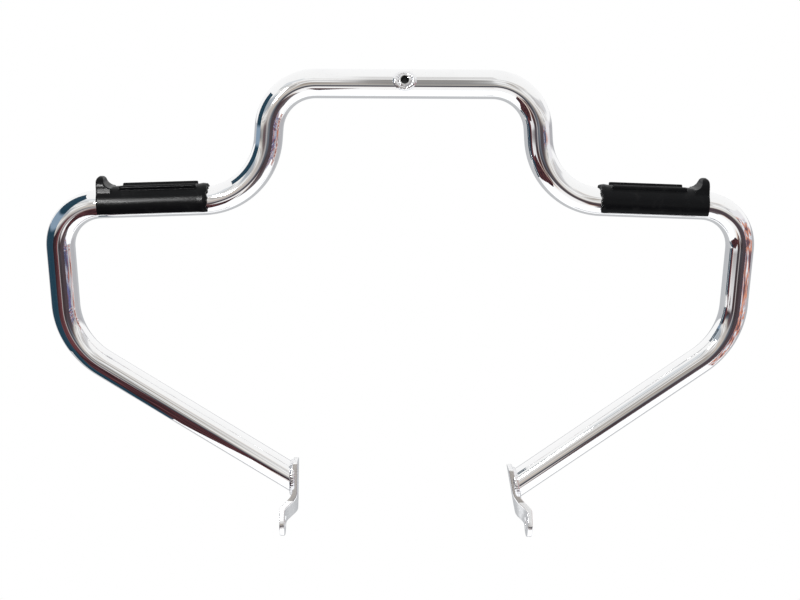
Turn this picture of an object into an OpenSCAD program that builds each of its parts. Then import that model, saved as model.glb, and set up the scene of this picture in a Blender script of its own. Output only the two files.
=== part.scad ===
// Leg guard for a motorcycle: one bent round tube with a welded cross sleeve, two footrest pads and two bolted ends.
// The tube lies in the XZ plane. +X is the viewer's right, +Z is up and -Y is the front.

/* [Tube] */
// Outside diameter of the bent tube
tube_od = 31.75; // [22:0.05:40]
// Wall of the bent tube
tube_wall = 2.5; // [1.2:0.1:4]
// Half of the straight top bar
top_half = 97; // [80:0.5:150]
// Centreline radius of the bend at each end of the top bar
shoulder_radius = 52.5; // [44:0.5:70]
// How steeply the tube falls below the shoulder, in degrees from level
shoulder_fall = 84.6; // [70:0.2:90]
// Straight between the shoulder and the saddle bend
drop_length = 13.4; // [5:0.1:60]
// Centreline radius of the bend that turns the tube out to the wing
saddle_radius = 77.5; // [60:0.5:100]
// How much the wing falls towards its outer end, in degrees
wing_fall = 1.9; // [0:0.1:6]
// Straight of the wing that carries the pad
wing_length = 115.5; // [100:0.5:180]
// Centreline radius of the outer top corner
corner_radius = 49.7; // [44:0.1:80]
// Direction of the outer side, in degrees from level
side_fall = 90.4; // [86:0.1:94]
// Straight of the outer side
side_length = 67.3; // [50:0.1:140]
// Centreline radius of the outer lower bend
knee_radius = 87.5; // [60:0.5:110]
// Rise of the left leg above level, in degrees
left_leg_rise = 33.9; // [28:0.1:40]
// Rise of the right leg above level, in degrees
right_leg_rise = 36.8; // [28:0.1:40]

/* [Centre sleeve] */
// Outside diameter of the cross sleeve
sleeve_od = 12.7; // [10:0.1:18]
// Through bore of the cross sleeve
sleeve_bore = 8.8; // [5:0.1:9.5]
// How far each mouth of the sleeve stands out of the tube
sleeve_proud = 1.8; // [0.5:0.1:5]
// Lift of the sleeve's front mouth, in degrees
sleeve_lift = 20; // [0:1:30]
// Width of the weld bead around each mouth
sleeve_bead = 3; // [2:0.1:4]

/* [Brackets] */
// Width of the flat bar
bracket_width = 32; // [26:0.5:40]
// Thickness of the flat bar
bracket_thick = 6; // [4:0.5:8]
// Bolt hole in each bracket
bracket_hole = 14; // [8:0.5:18]
// Inner face of the left bracket from the middle, at the tube's end
left_bracket_x = 125; // [115:0.5:145]
// Inner face of the right bracket from the middle, at the tube's end
right_bracket_x = 134; // [115:0.5:145]
// Outward lean of the left bracket's upper part, in degrees
left_bracket_lean = 1; // [0:0.5:12]
// Outward lean of the right bracket's upper part, in degrees
right_bracket_lean = 10.5; // [0:0.5:12]
// Outward step of the left bracket's lower end
left_bracket_step = 15; // [8:0.2:20]
// Outward step of the right bracket's lower end
right_bracket_step = 18; // [10:0.2:20]
// Slant of the step, in degrees from the bar's upright
step_slope = 48; // [44:1:60]
// Direction of the step's bend lines, in degrees below level towards the back
step_skew = 52; // [36:1:54]
// Forward sweep of the bracket's upper part, in degrees
bracket_sweep = 11; // [0:1:20]
// Forward sweep of the bracket's lower end, in degrees
foot_sweep = 36; // [20:1:45]
// Upper end of the bracket above the tube's end
bracket_rise = 21.5; // [20:0.5:30]
// Middle of the left tube's end to where its bracket turns forward
left_bracket_drop = 28; // [26:0.5:40]
// Middle of the right tube's end to where its bracket turns forward
right_bracket_drop = 22; // [22:0.5:40]
// From that turn to the bolt hole
foot_length = 26; // [22:0.5:40]
// Weld bead around the tube's lower ends
end_bead = 3.6; // [2:0.1:5]

/* [Footrest pads] */
// Length of each pad along the wing
pad_length = 123; // [100:0.5:128]
// Rubber over the tube
pad_wall = 4; // [3:0.1:7]
// Where the pad's open underside starts, in degrees below level
pad_skirt = 28; // [10:1:60]
// Height of the two ribs over the pad
rib_height = 4; // [2:0.1:7]
// Width of each rib
rib_width = 4.4; // [3:0.1:6]
// Angle from the top of the pad to each rib
rib_angle = 27; // [20:1:36]
// Length of the ribs
rib_length = 85; // [60:1:88]
// How far the ribs lie inboard of the pad's middle
rib_shift = 6.5; // [0:0.5:8]
// Height of the outer lip over the pad
lip_height = 12; // [6:0.5:16]
// Thickness of the outer lip at its top
lip_thick = 8.5; // [6:0.5:12]
// Radius of the hollow between the lip and the pad
lip_fillet = 8.5; // [5:0.5:12]
// How far the left pad sits inboard of the middle of its wing
left_pad_shift = 3; // [0:0.5:4]

/* [Hidden] */
$fn = 64;
tube_r = tube_od / 2;
bore_r = tube_r - tube_wall;
pad_r = tube_r + pad_wall;

hair = 0.01;

// Bends and headings in degrees, each heading measured below level
shoulder_turn = shoulder_fall;
saddle_turn = shoulder_fall - wing_fall;
corner_turn = side_fall - wing_fall;
function knee_turn(rise) = 180 - rise - side_fall;
wing_head = wing_fall;
side_head = side_fall;
function leg_head(rise) = 180 - rise;

// Points of the centreline, one half, as [outward, up]
function heading(a) = [cos(a), -sin(a)];
function side_of(a) = [sin(a), cos(a)];
p_top = [top_half, 0];
c_shoulder = p_top - shoulder_radius * side_of(0);
p_drop = c_shoulder + shoulder_radius * side_of(shoulder_turn);
p_saddle = p_drop + drop_length * heading(shoulder_turn);
c_saddle = p_saddle + saddle_radius * side_of(shoulder_turn);
p_wing = c_saddle - saddle_radius * side_of(wing_head);
p_corner = p_wing + wing_length * heading(wing_head);
c_corner = p_corner - corner_radius * side_of(wing_head);
p_side = c_corner + corner_radius * side_of(side_head);
p_knee = p_side + side_length * heading(side_head);
c_knee = p_knee - knee_radius * side_of(side_head);
function p_leg(rise) = c_knee + knee_radius * side_of(leg_head(rise));
function leg_run(rise, x) = (x - p_leg(rise)[0]) / cos(leg_head(rise));
function leg_end(rise, x) = p_leg(rise) + leg_run(rise, x) * heading(leg_head(rise));

// Outer face of each bracket where the tube's axis meets it
left_face = left_bracket_x + bracket_thick;
right_face = right_bracket_x + bracket_thick;
left_end = leg_end(left_leg_rise, left_face);
right_end = leg_end(right_leg_rise, right_face);

module at(p) {
    translate([p[0], 0, p[1]]) children();
}

// A straight along Z, a hair thicker than the bends, then whatever follows it
module straight(length, r) {
    rotate([0, 0, 180]) cylinder(h = length, r = r + hair);
    translate([0, 0, length]) children();
}

// A bend towards +X, or towards -X for a negative angle, then whatever follows it.
// It is a whole ring cut by the end planes of its neighbours.
module turn(radius, angle, r) {
    middle = angle > 0 ? radius : -radius;
    wide = 3 * (radius + r);
    difference() {
        translate([middle, 0, 0]) rotate([90, 0, 0]) rotate([0, 0, -90])
            rotate_extrude() translate([radius, 0]) rotate(angle > 0 ? 0 : 180) circle(r = r);
        translate([middle - wide, -wide, -wide]) cube([2 * wide, 2 * wide, wide]);
        translate([middle, 0, 0]) rotate([0, angle, 0]) translate([-wide, -wide, 0])
            cube([2 * wide, 2 * wide, wide]);
    }
    translate([middle, 0, 0]) rotate([0, angle, 0]) translate([-middle, 0, 0]) children();
}

// Half of the bent bar, from the shoulder to the lower end
module half_bar(r, rise, face, over) {
    translate([top_half, 0, 0]) rotate([0, 90, 0])
        turn(shoulder_radius, shoulder_turn, r)
        straight(drop_length, r)
        turn(saddle_radius, -saddle_turn, r)
        straight(wing_length, r)
        turn(corner_radius, corner_turn, r)
        straight(side_length, r)
        turn(knee_radius, knee_turn(rise), r)
        straight(leg_run(rise, face) + over, r);
}

module bar(r, over) {
    translate([-top_half, 0, 0]) rotate([0, 90, 0]) straight(2 * top_half, r);
    half_bar(r, right_leg_rise, right_face, over);
    mirror([1, 0, 0]) half_bar(r, left_leg_rise, left_face, over);
}

// Space on the inner side of a bracket's outer face, used to mitre the tube
module inside_of(end, lean) {
    at(end) rotate([0, -lean, 0]) translate([-60, -40, -60]) cube([60, 80, 120]);
}

module sleeve_axis() {
    rotate([90 - sleeve_lift, 0, 0]) children();
}

module guard_tube() {
    color("silver")
    difference() {
        bar(tube_r, 30);
        bar(bore_r, 40);
        sleeve_axis() cylinder(h = 2 * tube_od, d = sleeve_od, center = true);
        inside_of(right_end, right_bracket_lean);
        mirror([1, 0, 0]) inside_of(left_end, left_bracket_lean);
    }
}

module centre_sleeve() {
    color("gainsboro")
    sleeve_axis() difference() {
        cylinder(h = tube_od + 2 * sleeve_proud, d = sleeve_od, center = true);
        cylinder(h = 2 * tube_od, d = sleeve_bore, center = true);
    }
}

// Bead of weld around one mouth, wider along the tube
module mouth_bead() {
    difference() {
        scale([1.3, 1, 1]) rotate_extrude() {
            translate([sleeve_od / 2 + 1.8, tube_r - 1.5]) circle(r = sleeve_bead);
            translate([0, tube_r - 1.5 - sleeve_bead]) square([sleeve_od / 2 + 1.8, 2 * sleeve_bead]);
        }
        cylinder(h = 2 * tube_od, d = sleeve_od, center = true);
        rotate([0, 90, 0]) cylinder(h = 60, r = tube_r, center = true);
    }
}

module centre_weld_front() {
    color("darkgray")
    sleeve_axis() mouth_bead();
}

module centre_weld_rear() {
    color("darkgray")
    sleeve_axis() mirror([0, 0, 1]) mouth_bead();
}

// Corner points of the bracket seen from the side, as [front to back, up], from the tube's end
function turn_at(drop) = [-drop * tan(bracket_sweep), -drop];
function foot_at(drop) = turn_at(drop) - foot_length * [sin(foot_sweep), cos(foot_sweep)];

module bracket_outline(drop) {
    r = bracket_width / 2;
    difference() {
        union() {
            rotate(-bracket_sweep) translate([-r, -drop / cos(bracket_sweep)])
                square([2 * r, bracket_rise + drop / cos(bracket_sweep)]);
            translate(turn_at(drop)) circle(r = r);
            translate(foot_at(drop)) rotate(-foot_sweep) translate([-r, 0]) square([2 * r, foot_length]);
            translate(foot_at(drop)) circle(r = r);
        }
        translate(foot_at(drop)) circle(d = bracket_hole);
    }
}

// Distance from the tube's end down to the step's lower bend line, which passes the bolt hole at its upper back
function step_end(drop) = -foot_at(drop) * [sin(step_skew), cos(step_skew)] - bracket_hole / 2 - 3;

// Everything inboard of the bracket's upper part, its slanted step and its foot, depth in from the outer faces
module inboard(drop, step, lean, depth) {
    intersection() {
        union() {
            rotate([0, -lean, 0]) translate([-200 - depth, -100, -150]) cube([200, 200, 300]);
            rotate([-step_skew, 0, 0]) translate([step, 0, -step_end(drop)]) rotate([0, -step_slope, 0])
                translate([-200 - depth, -100, -150]) cube([200, 200, 300]);
        }
        translate([step - 190 - depth, -90, -140]) cube([190, 180, 240]);
    }
}

// Flat bar with a diagonal outward step, from its outer face at the tube's end
module bracket(end, drop, step, lean) {
    at(end) intersection() {
        difference() {
            inboard(drop, step, lean, 0);
            inboard(drop, step, lean, bracket_thick);
        }
        translate([-30, 0, 0]) rotate([90, 0, 90]) linear_extrude(height = 90) bracket_outline(drop);
    }
}

module left_bracket() {
    color("lightgray")
    mirror([1, 0, 0]) bracket(left_end, left_bracket_drop, left_bracket_step, left_bracket_lean);
}

module right_bracket() {
    color("lightgray")
    bracket(right_end, right_bracket_drop, right_bracket_step, right_bracket_lean);
}

// Bead of weld where the mitred tube meets the bracket's outer face
module end_weld(end, rise, lean) {
    stretch = 1 / cos(180 - leg_head(rise) - lean);
    difference() {
        at(end) rotate([0, -lean, 0]) scale([1, 1, stretch]) rotate([0, 90, 0]) rotate_extrude()
            intersection() {
                translate([tube_r, 0]) circle(r = end_bead);
                translate([0, 0]) square([tube_r + end_bead, end_bead]);
            }
        at(end) rotate([0, leg_head(rise) + 90, 0]) cylinder(h = 120, r = tube_r, center = true);
    }
}

module left_bracket_weld() {
    color("darkgray")
    mirror([1, 0, 0]) end_weld(left_end, left_leg_rise, left_bracket_lean);
}

module right_bracket_weld() {
    color("darkgray")
    end_weld(right_end, right_leg_rise, right_bracket_lean);
}

// Pad in its own frame: the tube's axis along X, the outer end at plus half the length
module pad_body() {
    half = pad_length / 2;
    rotate([0, 90, 0]) cylinder(h = pad_length, r = pad_r, center = true);
    for (s = [-1, 1]) {
        translate([-rib_shift, 0, 0]) rotate([s * rib_angle, 0, 0]) intersection() {
            translate([0, 0, pad_r - 2]) linear_extrude(height = rib_height + 4) rib_outline();
            rotate([0, 90, 0]) cylinder(h = rib_length + 2, r = pad_r + rib_height, center = true);
        }
    }
    intersection() {
        rotate([90, 0, 0]) linear_extrude(height = 3 * pad_r, center = true) lip_side();
        rotate([90, 0, 90]) linear_extrude(height = half) lip_front();
    }
}

// Rib seen from above, with round ends
module rib_outline() {
    straight_part = rib_length - rib_width;
    square([straight_part, rib_width], center = true);
    for (s = [-1, 1]) translate([s * straight_part / 2, 0]) circle(d = rib_width);
}

// Lip seen from the front
module lip_side() {
    half = pad_length / 2;
    top = pad_r + lip_height;
    r = lip_thick / 2;
    translate([half - r, top - r]) circle(r = r);
    translate([half - lip_thick, 0]) square([lip_thick, top - r]);
    difference() {
        translate([half - lip_thick - lip_fillet, 0]) square([lip_fillet + 1, pad_r + lip_fillet - 0.5]);
        translate([half - lip_thick - lip_fillet, pad_r + lip_fillet - 0.5]) circle(r = lip_fillet);
    }
}

// Lip seen along the tube
module lip_front() {
    top = pad_r + lip_height;
    r = pad_r * 0.62;
    low = pad_r - 0.8;
    translate([0, top - r]) circle(r = r);
    polygon([[-low, 0], [low, 0], [r, top - r], [-r, top - r]]);
}

module pad_gap() {
    skirt = [cos(pad_skirt), -sin(pad_skirt)] * 3 * pad_r;
    rotate([90, 0, 90]) linear_extrude(height = 2 * pad_length, center = true)
        polygon([[0, 0], skirt, [skirt[0], -4 * pad_r], [-skirt[0], -4 * pad_r], [-skirt[0], skirt[1]]]);
}

// The tube under the pad, in the pad's own frame
module tube_under_pad() {
    translate([-wing_length / 2, 0, 0]) rotate([0, 90, 0])
        straight(wing_length, tube_r) turn(corner_radius, 30, tube_r);
    mirror([1, 0, 0]) translate([wing_length / 2, 0, 0]) rotate([0, 90, 0])
        turn(saddle_radius, -30, tube_r);
}

module pad(shift) {
    at(p_wing + wing_length / 2 * heading(wing_head)) rotate([0, wing_head, 0]) difference() {
        translate([-shift, 0, 0]) pad_body();
        pad_gap();
        tube_under_pad();
    }
}

module left_footrest_pad() {
    color([0.12, 0.12, 0.13])
    mirror([1, 0, 0]) pad(left_pad_shift);
}

module right_footrest_pad() {
    color([0.12, 0.12, 0.13])
    pad(0);
}

guard_tube();
centre_sleeve();
centre_weld_front();
centre_weld_rear();
left_bracket();
right_bracket();
left_bracket_weld();
right_bracket_weld();
left_footrest_pad();
right_footrest_pad();
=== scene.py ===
import bpy
import bmesh
import math
from mathutils import Matrix, Vector, noise


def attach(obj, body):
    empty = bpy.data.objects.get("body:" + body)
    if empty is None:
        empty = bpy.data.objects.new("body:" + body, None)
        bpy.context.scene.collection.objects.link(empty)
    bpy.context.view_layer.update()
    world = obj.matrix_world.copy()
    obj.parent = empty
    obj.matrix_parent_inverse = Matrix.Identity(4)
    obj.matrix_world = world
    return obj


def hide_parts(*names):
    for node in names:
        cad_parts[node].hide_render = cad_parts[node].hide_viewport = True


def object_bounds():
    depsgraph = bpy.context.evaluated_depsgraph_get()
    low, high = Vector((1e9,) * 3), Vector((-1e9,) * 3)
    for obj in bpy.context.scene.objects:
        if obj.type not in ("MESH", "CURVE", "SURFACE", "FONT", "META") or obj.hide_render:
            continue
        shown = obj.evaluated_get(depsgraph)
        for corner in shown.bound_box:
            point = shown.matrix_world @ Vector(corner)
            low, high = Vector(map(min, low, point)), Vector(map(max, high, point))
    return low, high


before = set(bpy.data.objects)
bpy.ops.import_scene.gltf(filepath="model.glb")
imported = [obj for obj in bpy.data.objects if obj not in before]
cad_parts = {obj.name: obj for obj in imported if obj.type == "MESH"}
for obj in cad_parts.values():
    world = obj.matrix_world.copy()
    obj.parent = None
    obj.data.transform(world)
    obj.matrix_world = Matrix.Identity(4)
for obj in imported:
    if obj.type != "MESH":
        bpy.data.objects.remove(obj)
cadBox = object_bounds()
print("frame loaded:", len(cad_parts), "CAD nodes")


# Camera and view, at the photograph's angle

camera = {
    "location": (-0.036175, -1.226773, 0.104901),
    "forward": (0.02604838, 0.9609087, -0.27563736),
    "up": (-0.000296, 0.275738, 0.961233),
    "lens": 49.5,
    "sensor": 36.0,
}


def makeCamera(settings):
    data = bpy.data.cameras.new("photoCamera")
    data.lens = settings["lens"]
    data.sensor_width = settings["sensor"]
    data.clip_start = 0.01
    obj = bpy.data.objects.new("photoCamera", data)
    bpy.context.scene.collection.objects.link(obj)
    back = -Vector(settings["forward"]).normalized()
    right = Vector(settings["up"]).cross(back).normalized()
    up = back.cross(right)
    turn = Matrix((right, up, back)).transposed()
    obj.matrix_world = Matrix.Translation(settings["location"]) @ turn.to_4x4()
    bpy.context.scene.camera = obj


makeCamera(camera)
bpy.context.scene.view_settings.view_transform = "Standard"
print("camera set")


# The bent tube's centreline, with the same values as the part's source, in metres and degrees

barPath = {
    "topHalf": 0.097,
    "shoulderRadius": 0.0525,
    "shoulderFall": 84.6,
    "dropLength": 0.0134,
    "saddleRadius": 0.0775,
    "wingFall": 1.9,
    "wingLength": 0.1155,
    "cornerRadius": 0.0497,
    "sideFall": 90.4,
    "sideLength": 0.0673,
    "kneeRadius": 0.0875,
    "legRise": {"left": 33.9, "right": 36.8},
    "bracketX": {"left": 0.131, "right": 0.140},  # outer face of each bracket on the tube's axis
    "bracketLean": {"left": 1.0, "right": 10.5},
}


def heading(angle):
    a = math.radians(angle)
    return Vector((math.cos(a), 0, -math.sin(a)))


def halfPath(side):
    # corner points with their bend radii, then the leg's end on the bracket's face
    p = barPath
    rise = p["legRise"][side]
    runs = [
        (p["topHalf"], 0, p["shoulderRadius"], p["shoulderFall"]),
        (p["dropLength"], p["shoulderFall"], p["saddleRadius"], p["wingFall"]),
        (p["wingLength"], p["wingFall"], p["cornerRadius"], p["sideFall"]),
        (p["sideLength"], p["sideFall"], p["kneeRadius"], 180 - rise),
    ]
    point = Vector((0, 0, 0))
    corners = []
    for length, angle, radius, nextAngle in runs:
        reach = radius * math.tan(math.radians(abs(nextAngle - angle)) / 2)
        corner = point + heading(angle) * (length + reach)
        corners.append((corner, radius))
        point = corner + heading(nextAngle) * reach
    leg = heading(180 - rise)
    end = point + leg * ((p["bracketX"][side] - point.x) / leg.x)
    sign = -1 if side == "left" else 1
    for corner, radius in corners:
        corner.x *= sign
    end.x *= sign
    leg.x *= sign
    return corners, end, leg


def wingFrame(side):
    # middle of the wing and the matrix that lays a pad along it, with local +X outwards
    p = barPath
    saddle = halfPath("right")[0][1]
    along = heading(p["wingFall"])
    bend = math.radians(p["shoulderFall"] - p["wingFall"])
    start = saddle[0] + along * (saddle[1] * math.tan(bend / 2))
    middle = start + along * (p["wingLength"] / 2)
    turn = Matrix.Translation(middle) @ Matrix.Rotation(math.radians(p["wingFall"]), 4, "Y")
    if side == "left":
        turn = Matrix.Scale(-1, 4, (1, 0, 0)) @ turn
    return turn


# Small helpers for node trees and meshes


def addNode(tree, kind, **values):
    node = tree.nodes.new(kind)
    for key, value in values.items():
        setattr(node, key, value)
    return node


def wire(tree, source, target):
    tree.links.new(source, target)


def newTree(name, inputs):
    tree = bpy.data.node_groups.new(name, "GeometryNodeTree")
    tree.interface.new_socket("Geometry", in_out="INPUT", socket_type="NodeSocketGeometry")
    for label, kind, value in inputs:
        item = tree.interface.new_socket(label, in_out="INPUT", socket_type=kind)
        if value is not None:
            item.default_value = value
    tree.interface.new_socket("Geometry", in_out="OUTPUT", socket_type="NodeSocketGeometry")
    return tree


def wireAll(tree, links):
    for source, outName, target, inName in links:
        wire(tree, source.outputs[outName], target.inputs[inName])


def finishTree(tree, given, out, made):
    # smooth, real and painted, as every tree ends
    smooth = addNode(tree, "GeometryNodeSetShadeSmooth")
    real = addNode(tree, "GeometryNodeRealizeInstances")
    paint = addNode(tree, "GeometryNodeSetMaterial")
    wire(tree, made, smooth.inputs["Geometry"])
    wireAll(tree, [
        (smooth, "Geometry", real, "Geometry"), (real, "Geometry", paint, "Geometry"),
        (given, "Material", paint, "Material"), (paint, "Geometry", out, "Geometry"),
    ])


def readAttribute(tree, name):
    node = addNode(tree, "GeometryNodeInputNamedAttribute", data_type="FLOAT")
    node.inputs["Name"].default_value = name
    return node


def linkObject(name, mesh):
    obj = bpy.data.objects.new(name, mesh)
    bpy.context.scene.collection.objects.link(obj)
    return obj


def runTree(name, base, tree, values):
    # evaluates the tree on the base mesh and keeps the result as a plain mesh
    obj = linkObject(name + "Base", base)
    mod = obj.modifiers.new("shape", "NODES")
    mod.node_group = tree
    for item in tree.interface.items_tree:
        if item.item_type == "SOCKET" and item.in_out == "INPUT" and item.name in values:
            mod[item.identifier] = values[item.name]
    bpy.context.view_layer.update()
    deps = bpy.context.evaluated_depsgraph_get()
    mesh = bpy.data.meshes.new_from_object(obj.evaluated_get(deps), depsgraph=deps)
    mesh.name = name
    bpy.data.objects.remove(obj)
    return mesh


def pathMesh(name, points, closed=False, radii=None):
    mesh = bpy.data.meshes.new(name)
    edges = [(i, i + 1) for i in range(len(points) - 1)]
    if closed:
        edges.append((len(points) - 1, 0))
    mesh.from_pydata([tuple(p) for p in points], edges, [])
    if radii:
        values = mesh.attributes.new("bendRadius", "FLOAT", "POINT")
        for i, r in enumerate(radii):
            values.data[i].value = r
    return mesh


def settle(piece, node, material):
    # one material on every face, and its place in the frame
    piece.data.materials.clear()
    piece.data.materials.append(material)
    for face in piece.data.polygons:
        face.material_index = 0
    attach(piece, "root")
    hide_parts(node)


def bakeModifiers(obj):
    bpy.context.view_layer.update()
    deps = bpy.context.evaluated_depsgraph_get()
    mesh = bpy.data.meshes.new_from_object(obj.evaluated_get(deps), depsgraph=deps)
    obj.modifiers.clear()
    obj.data = mesh


def faceOutwards(mesh):
    bm = bmesh.new()
    bm.from_mesh(mesh)
    bmesh.ops.recalc_face_normals(bm, faces=bm.faces)
    bm.to_mesh(mesh)
    bm.free()


quarterTurns = (0, 22.5, 45, 67.5, 90)  # degrees, for the small roundings


# Shader groups shared by the metal and rubber finishes


def newShaderGroup(name, inputs, outputs):
    group = bpy.data.node_groups.new(name, "ShaderNodeTree")
    for label, kind, value in inputs:
        item = group.interface.new_socket(label, in_out="INPUT", socket_type=kind)
        item.default_value = value
    for label, kind in outputs:
        group.interface.new_socket(label, in_out="OUTPUT", socket_type=kind)
    return group, addNode(group, "NodeGroupInput"), addNode(group, "NodeGroupOutput")


def mathNode(tree, operation, a, b=None, clamp=False):
    node = addNode(tree, "ShaderNodeMath", operation=operation, use_clamp=clamp)
    for i, value in enumerate((a, b)):
        if value is None:
            continue
        if isinstance(value, (int, float)):
            node.inputs[i].default_value = value
        else:
            wire(tree, value, node.inputs[i])
    return node.outputs[0]


def times(tree, a, b, clamp=False):
    return mathNode(tree, "MULTIPLY", a, b, clamp)


def plus(tree, a, b, clamp=False):
    return mathNode(tree, "ADD", a, b, clamp)


def rangeNode(tree, value, low, high, toLow, toHigh):
    node = addNode(tree, "ShaderNodeMapRange", interpolation_type="SMOOTHSTEP")
    for i, v in enumerate((value, low, high, toLow, toHigh)):
        if isinstance(v, (int, float)):
            node.inputs[i].default_value = v
        else:
            wire(tree, v, node.inputs[i])
    return node.outputs[0]


def noiseNode(tree, vector, scale, detail=3.0, rough=0.5):
    node = addNode(tree, "ShaderNodeTexNoise")
    wire(tree, vector, node.inputs["Vector"])
    node.inputs["Detail"].default_value = detail
    node.inputs["Roughness"].default_value = rough
    if isinstance(scale, (int, float)):
        node.inputs["Scale"].default_value = scale
    else:
        wire(tree, scale, node.inputs["Scale"])
    return node.outputs["Fac"]


def mixColours(tree, factor, a, b):
    # a where the factor is 0 and b where it is 1
    node = addNode(tree, "ShaderNodeMix", data_type="RGBA")
    for socket, value in ((node.inputs[0], factor), (node.inputs[6], a), (node.inputs[7], b)):
        if isinstance(value, (int, float)):
            socket.default_value = value
        elif isinstance(value, tuple):
            socket.default_value = (*value, 1.0)
        else:
            wire(tree, value, socket)
    return node.outputs[2]


plating = {  # what every plated piece shares
    "cloudScale": 28.0, "cloudShade": 0.10, "cloudTint": (0.60, 0.62, 0.66),
    "fineScale": 420.0, "fineRough": 0.012, "fineHeight": 0.02,
    "dustScale": 900.0, "dustFrom": 0.70, "dustFull": 0.78, "dustRough": 0.10,
    "dustShade": 0.35, "dustTint": (0.55, 0.53, 0.50), "markRough": 0.25, "bumpDepth": 0.0006,
}
handling = {
    "blotchFrom": 0.52, "blotchFull": 0.72,
    "scratchStretch": (6.0, 160.0, 160.0), "scratchScale": 8.0, "scratchFrom": 0.66, "scratchFull": 0.74,
}


def makePolish():
    # buffing haze, faint swirls and specks of dust on plated metal
    group, given, out = newShaderGroup(
        "polishedPlating",
        [("Vector", "NodeSocketVector", (0, 0, 0)), ("Tint", "NodeSocketColor", (0.9, 0.9, 0.9, 1)),
         ("Base Roughness", "NodeSocketFloat", 0.04), ("Haze", "NodeSocketFloat", 0.04),
         ("Ripple Scale", "NodeSocketFloat", 60.0)],
        [("Color", "NodeSocketColor"), ("Roughness", "NodeSocketFloat"), ("Height", "NodeSocketFloat")],
    )
    vector = given.outputs["Vector"]
    p = plating
    cloud = noiseNode(group, vector, p["cloudScale"], 4.0, 0.6)
    fine = noiseNode(group, vector, p["fineScale"], 2.0, 0.5)
    dust = noiseNode(group, vector, p["dustScale"], 1.0, 0.4)
    speckle = rangeNode(group, dust, p["dustFrom"], p["dustFull"], 0.0, 1.0)
    haze = times(group, cloud, given.outputs["Haze"])
    grainy = times(group, fine, p["fineRough"])
    dusty = times(group, speckle, p["dustRough"])
    rough = plus(group, plus(group, haze, grainy), given.outputs["Base Roughness"])
    rough = plus(group, rough, dusty, clamp=True)
    shade = times(group, cloud, p["cloudShade"])
    darker = mixColours(group, shade, given.outputs["Tint"], p["cloudTint"])
    colour = mixColours(group, times(group, speckle, p["dustShade"]), darker, p["dustTint"])
    ripple = noiseNode(group, vector, given.outputs["Ripple Scale"], 1.0, 0.3)
    height = plus(group, ripple, times(group, fine, p["fineHeight"]))
    wire(group, colour, out.inputs["Color"])
    wire(group, rough, out.inputs["Roughness"])
    wire(group, height, out.inputs["Height"])
    return group


def makeGrime():
    # dark specks and fine scratches that lie over a finish, more of them where Amount is high
    group, given, out = newShaderGroup(
        "handlingMarks",
        [("Vector", "NodeSocketVector", (0, 0, 0)), ("Scale", "NodeSocketFloat", 40.0),
         ("Amount", "NodeSocketFloat", 0.3)],
        [("Mask", "NodeSocketFloat"), ("Height", "NodeSocketFloat")],
    )
    vector = given.outputs["Vector"]
    h = handling
    cloud = noiseNode(group, vector, given.outputs["Scale"], 5.0, 0.65)
    blotch = rangeNode(group, cloud, h["blotchFrom"], h["blotchFull"], 0.0, 1.0)
    stretch = addNode(group, "ShaderNodeMapping")
    stretch.inputs["Scale"].default_value = h["scratchStretch"]
    wire(group, vector, stretch.inputs["Vector"])
    streaks = noiseNode(group, stretch.outputs[0], h["scratchScale"], 2.0, 0.7)
    lines = rangeNode(group, streaks, h["scratchFrom"], h["scratchFull"], 0.0, 1.0)
    worn = mathNode(group, "MAXIMUM", blotch, lines)
    mask = times(group, worn, given.outputs["Amount"], clamp=True)
    wire(group, mask, out.inputs["Mask"])
    wire(group, times(group, lines, -1.0), out.inputs["Height"])
    return group


polish = makePolish()
marks = makeGrime()


def placeGroup(tree, group, vector, values):
    node = addNode(tree, "ShaderNodeGroup", node_tree=group)
    wire(tree, vector, node.inputs["Vector"])
    for key, value in values.items():
        node.inputs[key].default_value = value
    return node


def newMaterial(name):
    material = bpy.data.materials.new(name)
    material.use_nodes = True
    tree = material.node_tree
    tree.nodes.clear()
    shader = addNode(tree, "ShaderNodeBsdfPrincipled")
    out = addNode(tree, "ShaderNodeOutputMaterial")
    wire(tree, shader.outputs[0], out.inputs[0])
    vector = addNode(tree, "ShaderNodeTexCoord").outputs["Object"]
    return material, tree, shader, vector


def mixValues(tree, factor, a, b):
    # a where the factor is 0 and b where it is 1
    node = addNode(tree, "ShaderNodeMix", data_type="FLOAT")
    for socket, value in ((node.inputs[0], factor), (node.inputs[2], a), (node.inputs[3], b)):
        if isinstance(value, (int, float)):
            socket.default_value = value
        else:
            wire(tree, value, socket)
    return node.outputs[0]


def bumpFrom(tree, height, strength, distance):
    bump = addNode(tree, "ShaderNodeBump")
    bump.inputs["Strength"].default_value = strength
    bump.inputs["Distance"].default_value = distance
    wire(tree, height, bump.inputs["Height"])
    return bump.outputs[0]


def platedMaterial(name, finish):
    material, tree, shader, vector = newMaterial(name)
    shader.inputs["Metallic"].default_value = 1.0
    plated = placeGroup(tree, polish, vector, {
        "Tint": (*finish["tint"], 1.0), "Base Roughness": finish["roughness"],
        "Haze": finish["haze"], "Ripple Scale": finish["rippleScale"],
    })
    worn = placeGroup(tree, marks, vector, {"Scale": finish["markScale"], "Amount": finish["marks"]})
    colour = mixColours(tree, worn.outputs["Mask"], plated.outputs["Color"], finish["markTint"])
    duller = times(tree, worn.outputs["Mask"], plating["markRough"])
    rough = plus(tree, plated.outputs["Roughness"], duller)
    wire(tree, colour, shader.inputs["Base Color"])
    wire(tree, rough, shader.inputs["Roughness"])
    normal = bumpFrom(tree, plated.outputs["Height"], finish["bump"], plating["bumpDepth"])
    wire(tree, normal, shader.inputs["Normal"])
    return material


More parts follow.
